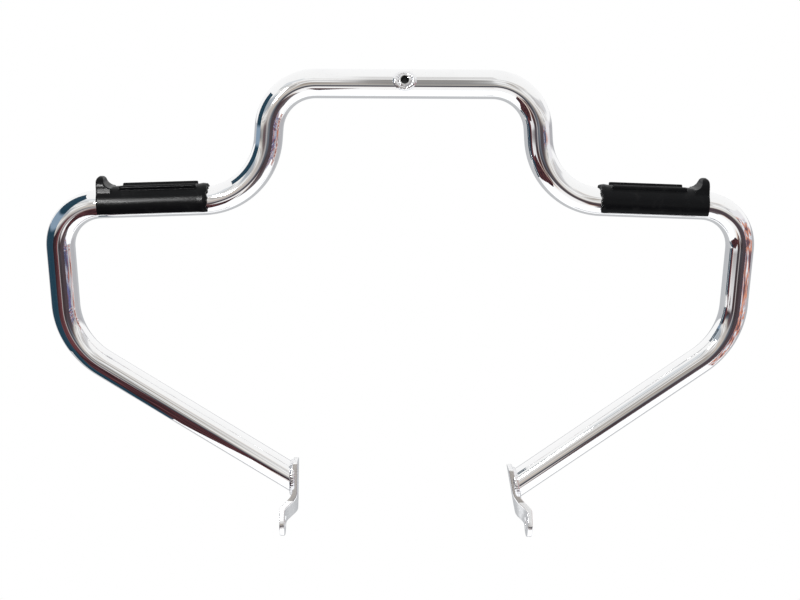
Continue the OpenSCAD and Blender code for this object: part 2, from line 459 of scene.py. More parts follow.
def rubberMaterial(name, finish):
    material, tree, shader, vector = newMaterial(name)
    shader.inputs["Specular IOR Level"].default_value = finish["specular"]
    cloud = noiseNode(tree, vector, finish["cloudScale"], 4.0, 0.6)
    grain = noiseNode(tree, vector, finish["grainScale"], 3.0, 0.6)
    lines = addNode(tree, "ShaderNodeMapping")
    lines.inputs["Scale"].default_value = finish["flowStretch"]
    wire(tree, vector, lines.inputs["Vector"])
    flow = noiseNode(tree, lines.outputs[0], 3.0, 3.0, 0.6)
    worn = placeGroup(tree, marks, vector, {"Scale": finish["markScale"], "Amount": finish["marks"]})
    base = mixColours(tree, cloud, finish["dark"], finish["light"])
    colour = mixColours(tree, worn.outputs["Mask"], base, finish["dust"])
    rough = rangeNode(tree, flow, 0.3, 0.7, *finish["roughness"])
    duller = times(tree, worn.outputs["Mask"], finish["markRough"])
    rough = plus(tree, rough, duller)
    fine = times(tree, grain, finish["grainHeight"])
    height = plus(tree, fine, times(tree, flow, finish["flowHeight"]))
    wire(tree, colour, shader.inputs["Base Color"])
    wire(tree, rough, shader.inputs["Roughness"])
    wire(tree, bumpFrom(tree, height, finish["bump"], finish["bumpDepth"]), shader.inputs["Normal"])
    return material


tubeChrome = platedMaterial("tubeChrome", {
    "tint": (0.965, 0.965, 0.97), "roughness": 0.012, "haze": 0.03, "rippleScale": 45.0, "bump": 0.05,
    "marks": 0.05, "markScale": 30.0, "markTint": (0.62, 0.62, 0.64),
})
sleeveChrome = platedMaterial("sleeveChrome", {
    "tint": (0.86, 0.86, 0.87), "roughness": 0.05, "haze": 0.08, "rippleScale": 160.0, "bump": 0.15,
    "marks": 0.20, "markScale": 150.0, "markTint": (0.35, 0.33, 0.32),
})
weldChrome = platedMaterial("weldChrome", {
    "tint": (0.90, 0.90, 0.915), "roughness": 0.06, "haze": 0.08, "rippleScale": 300.0, "bump": 0.25,
    "marks": 0.25, "markScale": 200.0, "markTint": (0.34, 0.32, 0.33),
})
bracketChrome = platedMaterial("bracketChrome", {
    "tint": (0.96, 0.96, 0.965), "roughness": 0.12, "haze": 0.07, "rippleScale": 70.0, "bump": 0.12,
    "marks": 0.12, "markScale": 60.0, "markTint": (0.45, 0.44, 0.44),
})
padRubber = rubberMaterial("padRubber", {
    "dark": (0.003, 0.0032, 0.0038), "light": (0.0055, 0.0058, 0.0068), "dust": (0.06, 0.058, 0.055),
    "roughness": (0.20, 0.32), "specular": 0.10, "cloudScale": 35.0,
    "marks": 0.10, "markScale": 70.0, "markRough": 0.3, "flowStretch": (4.0, 90.0, 90.0),
    "grainScale": 2200.0, "grainHeight": 0.25, "flowHeight": 0.8, "bump": 0.35, "bumpDepth": 0.0004,
})

# painted shade inside the sleeve's bore: a near-black tint, high roughness and low metallic
boreShade = {
    "lift": 20.0, "inside": 0.00455, "outside": 0.0048,
    "tint": (0.011, 0.010, 0.009), "roughness": 0.6, "metallic": 0.3,
}


def paintBoreShade(material, boreShading):
    # painted shade: the inside of the sleeve's bore is painted near black, dull and only partly metallic,
    # round its axis
    tree = material.node_tree
    shader = [n for n in tree.nodes if n.type == "BSDF_PRINCIPLED"][0]
    turned = addNode(tree, "ShaderNodeMapping")
    turned.inputs["Rotation"].default_value = (-math.radians(90 - boreShading["lift"]), 0, 0)
    wire(tree, addNode(tree, "ShaderNodeTexCoord").outputs["Object"], turned.inputs["Vector"])
    parts = addNode(tree, "ShaderNodeSeparateXYZ")
    wire(tree, turned.outputs[0], parts.inputs[0])
    square = [times(tree, parts.outputs[i], parts.outputs[i]) for i in (0, 1)]
    away = mathNode(tree, "SQRT", plus(tree, square[0], square[1]))
    mask = rangeNode(tree, away, boreShading["inside"], boreShading["outside"], 1.0, 0.0)
    plated = shader.inputs["Base Color"].links[0].from_socket
    rough = shader.inputs["Roughness"].links[0].from_socket
    wire(tree, mixColours(tree, mask, plated, boreShading["tint"]), shader.inputs["Base Color"])
    wire(tree, mixValues(tree, mask, rough, boreShading["roughness"]), shader.inputs["Roughness"])
    wire(tree, mixValues(tree, mask, 1.0, boreShading["metallic"]), shader.inputs["Metallic"])


paintBoreShade(sleeveChrome, boreShade)
print("materials made")


# The bent tube: a corner line filleted by each corner's own bend radius, then swept

tube = {
    "outsideRadius": 0.015875,
    "wall": 0.0025,
    "ringStep": 0.004,
    "roundSteps": 64,
    "bendSteps": 60,
    "sleeveHole": 0.00635,
    "sleeveLift": 20.0,
    "holeTight": 0.0002,  # the cut is this much smaller than the sleeve
    "holeLength": 0.08,
    "holeSides": 48,
    "spareEnd": 0.03,  # swept past the brackets, then trimmed
    "trimReach": 0.09,
    "sharpAngle": 35,
}


def setMode(node, mode):
    if "Mode" in node.inputs:
        node.inputs["Mode"].default_value = mode
    else:
        node.mode = mode.upper()


def makeTubeTree():
    tree = newTree("bentTube", [
        ("Outside Radius", "NodeSocketFloat", 0.016), ("Ring Step", "NodeSocketFloat", 0.004),
        ("Round Steps", "NodeSocketInt", 64), ("Bend Steps", "NodeSocketInt", 60),
        ("Material", "NodeSocketMaterial", None),
    ])
    given, out = addNode(tree, "NodeGroupInput"), addNode(tree, "NodeGroupOutput")
    curve = addNode(tree, "GeometryNodeMeshToCurve")
    radius = readAttribute(tree, "bendRadius")
    fillet = addNode(tree, "GeometryNodeFilletCurve")
    setMode(fillet, "Poly")
    steps = addNode(tree, "GeometryNodeResampleCurve")
    setMode(steps, "Length")
    circle = addNode(tree, "GeometryNodeCurvePrimitiveCircle", mode="RADIUS")
    sweep = addNode(tree, "GeometryNodeCurveToMesh")
    wireAll(tree, [
        (given, "Geometry", curve, "Mesh"), (curve, "Curve", fillet, "Curve"),
        (given, "Bend Steps", fillet, "Count"), (radius, "Attribute", fillet, "Radius"),
        (fillet, "Curve", steps, "Curve"), (given, "Ring Step", steps, "Length"),
        (given, "Round Steps", circle, "Resolution"), (given, "Outside Radius", circle, "Radius"),
        (steps, "Curve", sweep, "Curve"), (circle, "Curve", sweep, "Profile Curve"),
    ])
    finishTree(tree, given, out, sweep.outputs["Mesh"])
    return tree


def faceNormal(side):
    # outward normal of the bracket's face where the tube ends
    lean = math.radians(barPath["bracketLean"][side])
    normal = Vector((math.cos(lean), 0, math.sin(lean)))
    if side == "left":
        normal.x *= -1
    return normal


def trimEnds(mesh):
    bm = bmesh.new()
    bm.from_mesh(mesh)
    for side in ("left", "right"):
        end = halfPath(side)[1]
        near = [v for v in bm.verts if (v.co - end).length < tube["trimReach"]]
        nearSet = set(near)
        edges = [e for e in bm.edges if e.verts[0] in nearSet and e.verts[1] in nearSet]
        faces = [f for f in bm.faces if all(v in nearSet for v in f.verts)]
        bmesh.ops.bisect_plane(bm, geom=near + edges + faces, dist=1e-6, plane_co=end,
                               plane_no=-faceNormal(side), clear_outer=True)
    bm.normal_update()
    bm.to_mesh(mesh)
    bm.free()


def axisCylinder(name, radius, length, sides, lift):
    mesh = bpy.data.meshes.new(name)
    bm = bmesh.new()
    bmesh.ops.create_cone(bm, cap_ends=True, segments=sides, radius1=radius, radius2=radius, depth=length)
    bmesh.ops.rotate(bm, verts=bm.verts, matrix=Matrix.Rotation(math.radians(90 - lift), 3, "X"))
    bm.to_mesh(mesh)
    bm.free()
    return linkObject(name, mesh)


def makeTube():
    leftCorners, leftEnd, leftLeg = halfPath("left")
    rightCorners, rightEnd, rightLeg = halfPath("right")
    corners = list(reversed(leftCorners)) + rightCorners
    spare = tube["spareEnd"]
    points = [leftEnd + leftLeg * spare] + [c for c, r in corners] + [rightEnd + rightLeg * spare]
    radii = [0.0] + [r for c, r in corners] + [0.0]
    base = pathMesh("tubePath", points, radii=radii)
    mesh = runTree("guardTubeSkin", base, makeTubeTree(), {
        "Outside Radius": tube["outsideRadius"], "Ring Step": tube["ringStep"],
        "Round Steps": tube["roundSteps"], "Bend Steps": tube["bendSteps"], "Material": tubeChrome,
    })
    trimEnds(mesh)
    obj = linkObject("guardTubeSkin", mesh)
    wall = obj.modifiers.new("wall", "SOLIDIFY")
    wall.thickness = tube["wall"]
    wall.offset = -1
    wall.use_even_offset = True
    hole = axisCylinder("sleeveHole", tube["sleeveHole"] - tube["holeTight"], tube["holeLength"],
                        tube["holeSides"], tube["sleeveLift"])
    cut = obj.modifiers.new("sleeveHole", "BOOLEAN")
    cut.operation = "DIFFERENCE"
    cut.solver = "EXACT"
    cut.object = hole
    bakeModifiers(obj)
    bpy.data.objects.remove(hole)
    obj.data.shade_smooth()
    obj.data.set_sharp_from_angle(angle=math.radians(tube["sharpAngle"]))
    settle(obj, "guard_tube", tubeChrome)


makeTube()
print("tube made")


# Weld beads: a ring of overlapping ripples along each seam

centreWeld = {
    "beadRadius": 0.0030, "ripples": 18, "depth": 0.00025, "uneven": 0.0005, "reach": 1.3,
    "outside": 0.0016, "sunk": 0.0006, "steps": 96,
}
endWeld = {
    "beadRadius": 0.0035, "ripples": 34, "depth": 0.00035, "uneven": 0.0006,
    "outside": 0.0001, "offFace": 0.0002, "steps": 120,
}
beadShape = {"sides": 20, "stepsPerRipple": 10, "lag": 0.3, "lumpScale": 260.0}


def keepFactor(tree, name):
    # stores each point's share of the way along its curve
    store = addNode(tree, "GeometryNodeStoreNamedAttribute", data_type="FLOAT", domain="POINT")
    store.inputs["Name"].default_value = name
    wire(tree, addNode(tree, "GeometryNodeSplineParameter").outputs["Factor"], store.inputs["Value"])
    return store


def makeBeadTree():
    tree = newTree("rippledBead", [
        ("Bead Radius", "NodeSocketFloat", 0.003), ("Ripples", "NodeSocketInt", 30),
        ("Depth", "NodeSocketFloat", 0.0004), ("Uneven", "NodeSocketFloat", 0.0004),
        ("Seed", "NodeSocketFloat", 1.0), ("Material", "NodeSocketMaterial", None),
    ])
    given, out = addNode(tree, "NodeGroupInput"), addNode(tree, "NodeGroupOutput")
    curve = addNode(tree, "GeometryNodeMeshToCurve")
    steps = addNode(tree, "GeometryNodeResampleCurve")
    circle = addNode(tree, "GeometryNodeCurvePrimitiveCircle", mode="RADIUS")
    circle.inputs["Resolution"].default_value = beadShape["sides"]
    along, around = keepFactor(tree, "along"), keepFactor(tree, "around")
    sweep = addNode(tree, "GeometryNodeCurveToMesh")
    count = times(tree, given.outputs["Ripples"], beadShape["stepsPerRipple"])
    wire(tree, count, steps.inputs["Count"])
    wireAll(tree, [
        (given, "Geometry", curve, "Mesh"), (curve, "Curve", steps, "Curve"),
        (steps, "Curve", along, "Geometry"), (along, "Geometry", sweep, "Curve"),
        (given, "Bead Radius", circle, "Radius"), (circle, "Curve", around, "Geometry"),
        (around, "Geometry", sweep, "Profile Curve"),
    ])
    # each ripple is a rounded scale, and lags behind at the sides of the bead
    swing = times(tree, readAttribute(tree, "around").outputs["Attribute"], 4 * math.pi)
    lag = times(tree, mathNode(tree, "COSINE", swing), beadShape["lag"])
    phase = times(tree, readAttribute(tree, "along").outputs["Attribute"], given.outputs["Ripples"])
    phase = mathNode(tree, "FRACT", plus(tree, phase, lag))
    part = mathNode(tree, "SUBTRACT", times(tree, phase, 2.0), 1.0)
    arch = mathNode(tree, "SUBTRACT", 1.001, times(tree, part, part))
    fall = mathNode(tree, "SUBTRACT", mathNode(tree, "SQRT", arch), 1.0)
    rise = times(tree, fall, given.outputs["Depth"])
    lumps = addNode(tree, "ShaderNodeTexNoise", noise_dimensions="4D")
    lumps.inputs["Scale"].default_value = beadShape["lumpScale"]
    wire(tree, given.outputs["Seed"], lumps.inputs["W"])
    bump = mathNode(tree, "SUBTRACT", lumps.outputs["Fac"], 0.5)
    bump = times(tree, bump, given.outputs["Uneven"])
    offset = addNode(tree, "ShaderNodeVectorMath", operation="SCALE")
    wire(tree, addNode(tree, "GeometryNodeInputNormal").outputs[0], offset.inputs[0])
    wire(tree, plus(tree, rise, bump), offset.inputs["Scale"])
    move = addNode(tree, "GeometryNodeSetPosition")
    wire(tree, sweep.outputs["Mesh"], move.inputs["Geometry"])
    wire(tree, offset.outputs[0], move.inputs["Offset"])
    finishTree(tree, given, out, move.outputs["Geometry"])
    return tree


beadTree = makeBeadTree()


def mouthPath(front):
    # round the sleeve's mouth, lying on the tube, a little longer along the tube
    turn = Matrix.Rotation(math.radians(90 - tube["sleeveLift"]), 3, "X")
    w = centreWeld
    ring = tube["sleeveHole"] + w["outside"]
    points = []
    for i in range(w["steps"]):
        a = 2 * math.pi * i / w["steps"]
        x, y = ring * w["reach"] * math.cos(a), ring * math.sin(a)
        z = math.sqrt(tube["outsideRadius"] ** 2 - y * y) - w["sunk"]
        points.append(turn @ Vector((x, y, z if front else -z)))
    return points


def endPath(side):
    # the seam between the mitred tube and the bracket's outer face
    w = endWeld
    _, end, leg = halfPath(side)
    normal = faceNormal(side)
    back = Vector((0, 1, 0))
    up = back.cross(leg).normalized()
    points = []
    for i in range(w["steps"]):
        a = 2 * math.pi * i / w["steps"]
        spot = end + (back * math.cos(a) + up * math.sin(a)) * (tube["outsideRadius"] + w["outside"])
        slide = leg * ((spot - end).dot(normal) / leg.dot(normal))
        points.append(spot - slide + normal * w["offFace"])
    return points


def makeBead(name, node, points, sizes, seed):
    mesh = runTree(name, pathMesh(name + "Path", points, closed=True), beadTree, {
        "Bead Radius": sizes["beadRadius"], "Ripples": sizes["ripples"], "Depth": sizes["depth"],
        "Uneven": sizes["uneven"], "Seed": seed, "Material": weldChrome,
    })
    obj = linkObject(name, mesh)
    obj.data.shade_smooth()
    settle(obj, node, weldChrome)


makeBead("centreBeadFront", "centre_weld_front", mouthPath(True), centreWeld, 1.0)
makeBead("centreBeadRear", "centre_weld_rear", mouthPath(False), centreWeld, 2.0)
makeBead("leftEndBead", "left_bracket_weld", endPath("left"), endWeld, 3.0)
makeBead("rightEndBead", "right_bracket_weld", endPath("right"), endWeld, 4.0)
print("welds made")


# The cross sleeve, turned with rounded mouths

sleeve = {"outer": 0.00635, "bore": 0.0044, "length": 0.03535, "round": 0.0006, "sides": 72}


def makeSleeve():
    s = sleeve
    half, r = s["length"] / 2, s["round"]
    wide, narrow, top = s["outer"] - r, s["bore"] + r, half - r
    profile = []

    def roundCorner(x, z, start):
        for step in quarterTurns:
            a = math.radians(start + step)
            profile.append((x + r * math.cos(a), z + r * math.sin(a)))

    roundCorner(wide, top, 0)
    roundCorner(narrow, top, 90)
    profile += [(s["bore"], top * (1 - 2 * k / 8)) for k in range(1, 8)]
    roundCorner(narrow, -top, 180)
    roundCorner(wide, -top, 270)
    profile += [(s["outer"], top * (-1 + 2 * k / 8)) for k in range(1, 8)]
    n, sides = len(profile), s["sides"]
    turn = Matrix.Rotation(math.radians(90 - tube["sleeveLift"]), 3, "X")
    verts = []
    for j in range(sides):
        a = 2 * math.pi * j / sides
        verts += [turn @ Vector((x * math.cos(a), x * math.sin(a), z)) for x, z in profile]
    faces = []
    for j in range(sides):
        k = (j + 1) % sides
        faces += [(j * n + i, k * n + i, k * n + (i + 1) % n, j * n + (i + 1) % n) for i in range(n)]
    mesh = bpy.data.meshes.new("centreSleeveTurned")
    mesh.from_pydata([tuple(v) for v in verts], [], faces)
    faceOutwards(mesh)
    mesh.shade_smooth()
    settle(linkObject("centreSleeveTurned", mesh), "centre_sleeve", sleeveChrome)


makeSleeve()
print("sleeve made")


# The two brackets: flat bar with rounded edges and a bent outward step

bracket = {
    "halfWidth": 0.016,
    "thick": 0.006,
    "edgeRound": 0.0009,
    "holeRadius": 0.007,
    "rise": 0.0215,
    "drop": {"left": 0.028, "right": 0.022},
    "footLength": 0.026,
    "sweep": 11.0,
    "footSweep": 36.0,
    "stepSlope": 48.0,
    "stepSkew": 52.0,  # how steeply the step's bend lines fall towards the back
    "step": {"left": 0.015, "right": 0.018},
    "bend": 0.0035,
    "grid": 0.0015,
    "cornerRound": 0.0015,
    "holeSides": 48,
    "stepGap": 0.003,  # between the step's lower bend line and the hole
}


def footCentre(side):
    # the bar's turn and its bolt hole, seen from the side
    b = bracket
    foot = math.radians(b["footSweep"])
    turnPoint = Vector((-b["drop"][side] * math.tan(math.radians(b["sweep"])), -b["drop"][side]))
    return turnPoint, turnPoint - Vector((math.sin(foot), math.cos(foot))) * b["footLength"]


def barOutline(side, shrink):
    # seen from the side, as (front to back, up) from the tube's end, shrunk evenly all round
    b = bracket
    half = b["halfWidth"] - shrink
    sweep, foot = math.radians(b["sweep"]), math.radians(b["footSweep"])
    turnPoint, footPoint = footCentre(side)
    upDir, upSide = Vector((math.sin(sweep), math.cos(sweep))), Vector((math.cos(sweep), -math.sin(sweep)))
    footUp, footSide = Vector((math.sin(foot), math.cos(foot))), Vector((math.cos(foot), -math.sin(foot)))
    top = upDir * (b["rise"] - shrink)
    corner = b["cornerRound"]
    points = []
    for way, start in ((1, 0), (-1, 90)):  # the two upper corners, slightly rounded
        centre = top + upSide * (half - corner) * way - upDir * corner
        for step in quarterTurns:
            a = math.radians(start + step)
            points.append(centre + (upSide * math.cos(a) + upDir * math.sin(a)) * corner)
    # front edge: the two straights meet in a corner that the round joint leaves on the inner side of the turn
    frontMeet = turnPoint - (upSide + footSide).normalized() * (half / math.cos((foot - sweep) / 2))
    backTurn = [turnPoint + (upSide * math.cos(t) + footSide * math.sin(t)).normalized() * half
                for t in (0, math.pi / 8, math.pi / 4, 3 * math.pi / 8, math.pi / 2)]
    points.append(frontMeet)
    for k in range(25):
        a = math.pi + math.pi * k / 24
        points.append(footPoint + (footSide * math.cos(a) + footUp * math.sin(a)) * half)
    points += list(reversed(backTurn))
    return points


def holeRing(side, grow):
    centre, radius = footCentre(side)[1], bracket["holeRadius"] + grow
    angles = [2 * math.pi * k / bracket["holeSides"] for k in range(bracket["holeSides"])]
    return [centre + Vector((math.cos(a), math.sin(a))) * radius for a in angles]


def softMax(a, b, k):
    h = min(max(0.5 + 0.5 * (a - b) / k, 0), 1)
    return b + (a - b) * h + k * h * (1 - h)


def barDepth(side, y, z, depth):
    # how far out the bar's layer at this depth lies: upper part, slanted step, foot
    b = bracket
    lean, slope = math.radians(barPath["bracketLean"][side]), math.radians(b["stepSlope"])
    skew = math.radians(b["stepSkew"])
    square = Vector((math.sin(skew), math.cos(skew)))  # square to the bend lines
    stepEnd = -footCentre(side)[1].dot(square) - b["holeRadius"] - b["stepGap"]
    down = y * square.x + z * square.y
    upper = -z * math.tan(lean) - depth / math.cos(lean)
    slant = b["step"][side] - (down + stepEnd) * math.tan(slope) - depth / math.cos(slope)
    outer = softMax(upper, slant, b["bend"])
    return -softMax(-outer, depth - b["step"][side], b["bend"])


def makeBracket(side, name, node):
    b = bracket
    end = halfPath(side)[1]
    sign = -1 if side == "left" else 1
    bm = bmesh.new()

    def ring(points, depth):
        return [bm.verts.new((-depth, p.x, p.y)) for p in points]

    def stitch(one, two):
        n = len(one)
        for i in range(n):
            bm.faces.new((one[i], one[(i + 1) % n], two[(i + 1) % n], two[i]))

    r = b["edgeRound"]
    turns = [math.radians(step) for step in quarterTurns]
    levels = [(r * (1 - math.sin(a)), r * (1 - math.cos(a))) for a in turns]
    outerRings, holeRings = [], []
    for shrink, depth in levels:
        outerRings.append(ring(barOutline(side, shrink), depth))
        holeRings.append(ring(holeRing(side, shrink), depth))
    for shrink, depth in reversed(levels):
        outerRings.append(ring(barOutline(side, shrink), b["thick"] - depth))
        holeRings.append(ring(holeRing(side, shrink), b["thick"] - depth))
    for rings in (outerRings, holeRings):
        for one, two in zip(rings, rings[1:]):
            stitch(one, two)
    for k in (0, -1):
        loops = [e for e in bm.edges if all(v in outerRings[k] or v in holeRings[k] for v in e.verts)]
        bmesh.ops.triangle_fill(bm, use_beauty=True, use_dissolve=False, edges=loops)
    bmesh.ops.remove_doubles(bm, verts=bm.verts, dist=1e-7)
    low = min(v.co.z for v in bm.verts)
    high = max(v.co.z for v in bm.verts)
    back, front = max(v.co.y for v in bm.verts), min(v.co.y for v in bm.verts)
    for axis, start, stop in ((2, low, high), (1, front, back)):
        steps = int((stop - start) / b["grid"])
        for i in range(1, steps):
            spot, normal = Vector((0, 0, 0)), Vector((0, 0, 0))
            spot[axis] = start + (stop - start) * i / steps
            normal[axis] = 1
            bmesh.ops.bisect_plane(bm, geom=bm.verts[:] + bm.edges[:] + bm.faces[:], dist=1e-6,
                                   plane_co=spot, plane_no=normal)
    for v in bm.verts:
        v.co.x = barDepth(side, v.co.y, v.co.z, -v.co.x)
    for v in bm.verts:
        v.co = Vector((end.x + sign * v.co.x, end.y + v.co.y, end.z + v.co.z))
    bmesh.ops.recalc_face_normals(bm, faces=bm.faces)
    mesh = bpy.data.meshes.new(name)
    bm.to_mesh(mesh)
    bm.free()
    obj = linkObject(name, mesh)
    mesh.shade_smooth()
    weighted = obj.modifiers.new("weighted", "WEIGHTED_NORMAL")
    weighted.weight = 80
    bakeModifiers(obj)
    settle(obj, node, bracketChrome)


makeBracket("left", "leftBracketBar", "left_bracket")
makeBracket("right", "rightBracketBar", "right_bracket")
print("brackets made")


# The rubber pads: the CAD form with moulded roundings and a torn-looking inboard edge

pad = {
    "voxel": 0.0008, "softness": 0.5, "smoothRounds": 4, "halfLength": 0.0615,
    "shift": {"left": 0.003, "right": 0.0},
    "waveFrom": 0.050, "edgeWave": 0.0016, "waveSeed": {"left": 4.0, "right": 9.0},
    "collar": 0.0007, "collarRadius": 0.0175, "collarAt": 0.55, "collarReach": 0.45,
}


def makePad(side, name, node):
    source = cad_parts[node]
    mesh = source.data.copy()
    bm = bmesh.new()
    bm.from_mesh(mesh)
    bmesh.ops.remove_doubles(bm, verts=bm.verts, dist=1e-6)
    toPad = wingFrame(side).inverted()
    bm.transform(toPad)
    bmesh.ops.recalc_face_normals(bm, faces=bm.faces)
    bm.to_mesh(mesh)
    bm.free()
    obj = linkObject(name, mesh)
    remesh = obj.modifiers.new("voxels", "REMESH")
    remesh.mode = "VOXEL"
    remesh.voxel_size = pad["voxel"]
    soften = obj.modifiers.new("soften", "SMOOTH")
    soften.factor = pad["softness"]
    soften.iterations = pad["smoothRounds"]
    bakeModifiers(obj)
    for v in obj.data.vertices:
        p = v.co
        t = (-p.x - pad["shift"][side] - pad["waveFrom"]) / (pad["halfLength"] - pad["waveFrom"])
        if t > 0:
            angle = math.atan2(p.y, p.z)
            x, y = math.cos(angle), math.sin(angle)
            wave = noise.noise(Vector((x * 3.1, y * 3.1, pad["waveSeed"][side])))
            fine = noise.noise(Vector((x * 9.0, y * 9.0, 2.0)))
            p.x += (0.5 + wave + 0.35 * fine) * pad["edgeWave"] * t * t
            radial = Vector((0, p.y, p.z))
            if radial.length > pad["collarRadius"]:
                share = max(0, 1 - abs(t - pad["collarAt"]) / pad["collarReach"])
                p += radial.normalized() * pad["collar"] * share
    obj.data.transform(wingFrame(side))
    faceOutwards(obj.data)
    obj.data.shade_smooth()
    settle(obj, node, padRubber)


makePad("left", "leftPadMoulded", "left_footrest_pad")
makePad("right", "rightPadMoulded", "right_footrest_pad")
print("pads made")


# The studio: a pale floor, a white background, and painted reflections that polished metal sees around it

studio = {
    "floorDrop": 0.6,
    "floorX": (-1.7, 1.7),
    "floorY": (-1.15, 0.3),
    "skyLight": 0.85,
    "ceilingPower": 7.0,
    "ceilingSize": (1.4, 0.6),
    "ceilingPlace": (0.1, 0.25, 1.5),
    "ceilingAim": (0, 0, -0.2),
    "stripPower": 10.5,
    "stripSize": (0.30, 0.09),
    "stripPlace": (-0.56, -0.85, 0.28),
    "stripAim": (-0.28, 0.0, -0.12),
}


def bandNode(tree, value, low, high, soft):
    # 1 between low and high, with soft edges
    rising = rangeNode(tree, value, low - soft, low + soft, 0.0, 1.0)
    falling = rangeNode(tree, value, high - soft, high + soft, 1.0, 0.0)
    return times(tree, rising, falling)


def toneRamp(tree, value, tones, steps=False):
    node = addNode(tree, "ShaderNodeValToRGB")
    if steps:
        node.color_ramp.interpolation = "CONSTANT"
    elements = node.color_ramp.elements
    for i, (spot, colour) in enumerate(tones):
        element = elements[i] if i < 2 else elements.new(spot)
        element.position = spot
        element.color = (*colour, 1)
    wire(tree, value, node.inputs[0])
    return node.outputs[0]


# Painted reflections past the floor, seen only by glossy rays: dark things low in front, grey behind, white
# above

reflectionPaint = {
    "round": [  # degrees from the level front over the top, and its colour
        (-180, (0.50, 0.51, 0.53)), (-112, (0.56, 0.57, 0.58)), (-100, (0.9, 0.9, 0.9)),
        (-33, (1.0, 1.0, 1.0)), (-28, (0.75, 0.60, 0.50)), (-25, (0.10, 0.035, 0.03)),
        (-14, (0.05, 0.04, 0.045)), (-8, (0.13, 0.15, 0.18)), (-4, (0.50, 0.47, 0.43)),
        (3, (0.82, 0.80, 0.77)), (15, (0.94, 0.94, 0.93)), (180, (1.0, 1.0, 1.0)),
    ],
    "patches": [  # degrees to the right, degrees above level, strength, dark and light tones
        (-42.0, -20.0, -11.0, -2.0, 0.9, (0.03, 0.025, 0.03), (0.17, 0.10, 0.11)),
        (-78.0, -33.0, -30.0, -12.5, 0.9, (0.74, 0.74, 0.76), (0.98, 0.98, 0.98)),
        (-15.0, -9.0, -22.0, -2.0, 0.9, (0.45, 0.40, 0.39), (0.55, 0.52, 0.52)),
        (-6.0, 7.0, -60.0, -18.5, 0.95, (0.94, 0.93, 0.92), (1.0, 1.0, 1.0)),
        (10.0, 38.0, -40.0, -2.0, 0.94, (0.03, 0.022, 0.03), (0.12, 0.09, 0.10)),
        (60.0, 140.0, -34.0, 3.0, 0.85, (0.38, 0.37, 0.39), (0.52, 0.52, 0.54)),
        (-9.0, -1.0, 1.0, 15.0, 0.9, (0.24, 0.22, 0.20), (0.38, 0.35, 0.31)),
        (-1.0, 7.0, -2.0, 38.0, 0.95, (0.20, 0.19, 0.18), (0.34, 0.33, 0.32)),
        (-105.0, -38.0, 10.0, 26.0, 0.8, (0.14, 0.20, 0.27), (0.42, 0.50, 0.56)),
        (-60.0, -20.0, 42.0, 50.0, 0.6, (0.40, 0.45, 0.50), (0.62, 0.66, 0.70)),
        (38.0, 100.0, 12.0, 26.0, 0.6, (0.36, 0.36, 0.38), (0.60, 0.60, 0.62)),
        (16.0, 23.0, 14.0, 30.0, 0.85, (0.30, 0.29, 0.27), (0.56, 0.54, 0.50)),
        (-22.0, -13.0, 12.0, 24.0, 0.85, (0.30, 0.29, 0.27), (0.56, 0.54, 0.50)),
        (-58.0, -30.0, 36.0, 40.0, 0.85, (0.16, 0.20, 0.23), (0.42, 0.46, 0.48)),
        (-1.0, 14.0, 44.0, 62.0, 0.6, (0.50, 0.49, 0.48), (0.62, 0.61, 0.60)),
    ],
    "lineSpacing": 8.0, "lineLength": 45.0, "lineStrength": 0.55,
    "lineTints": [(0.38, (0.15, 0.19, 0.24)), (0.5, (0.30, 0.28, 0.27)), (0.62, (0.42, 0.30, 0.20))],
    "speckled": (36.0, 66.0, -30.0, -2.0), "speckleSize": (11.0, 0.35),
    "speckles": [(0.0, (0.42, 0.15, 0.10)), (0.22, (0.07, 0.08, 0.16)),
                 (0.5, (0.52, 0.53, 0.62)), (0.72, (0.14, 0.16, 0.34))],
    "softTint": (0.95, 0.97, 1.0),
}


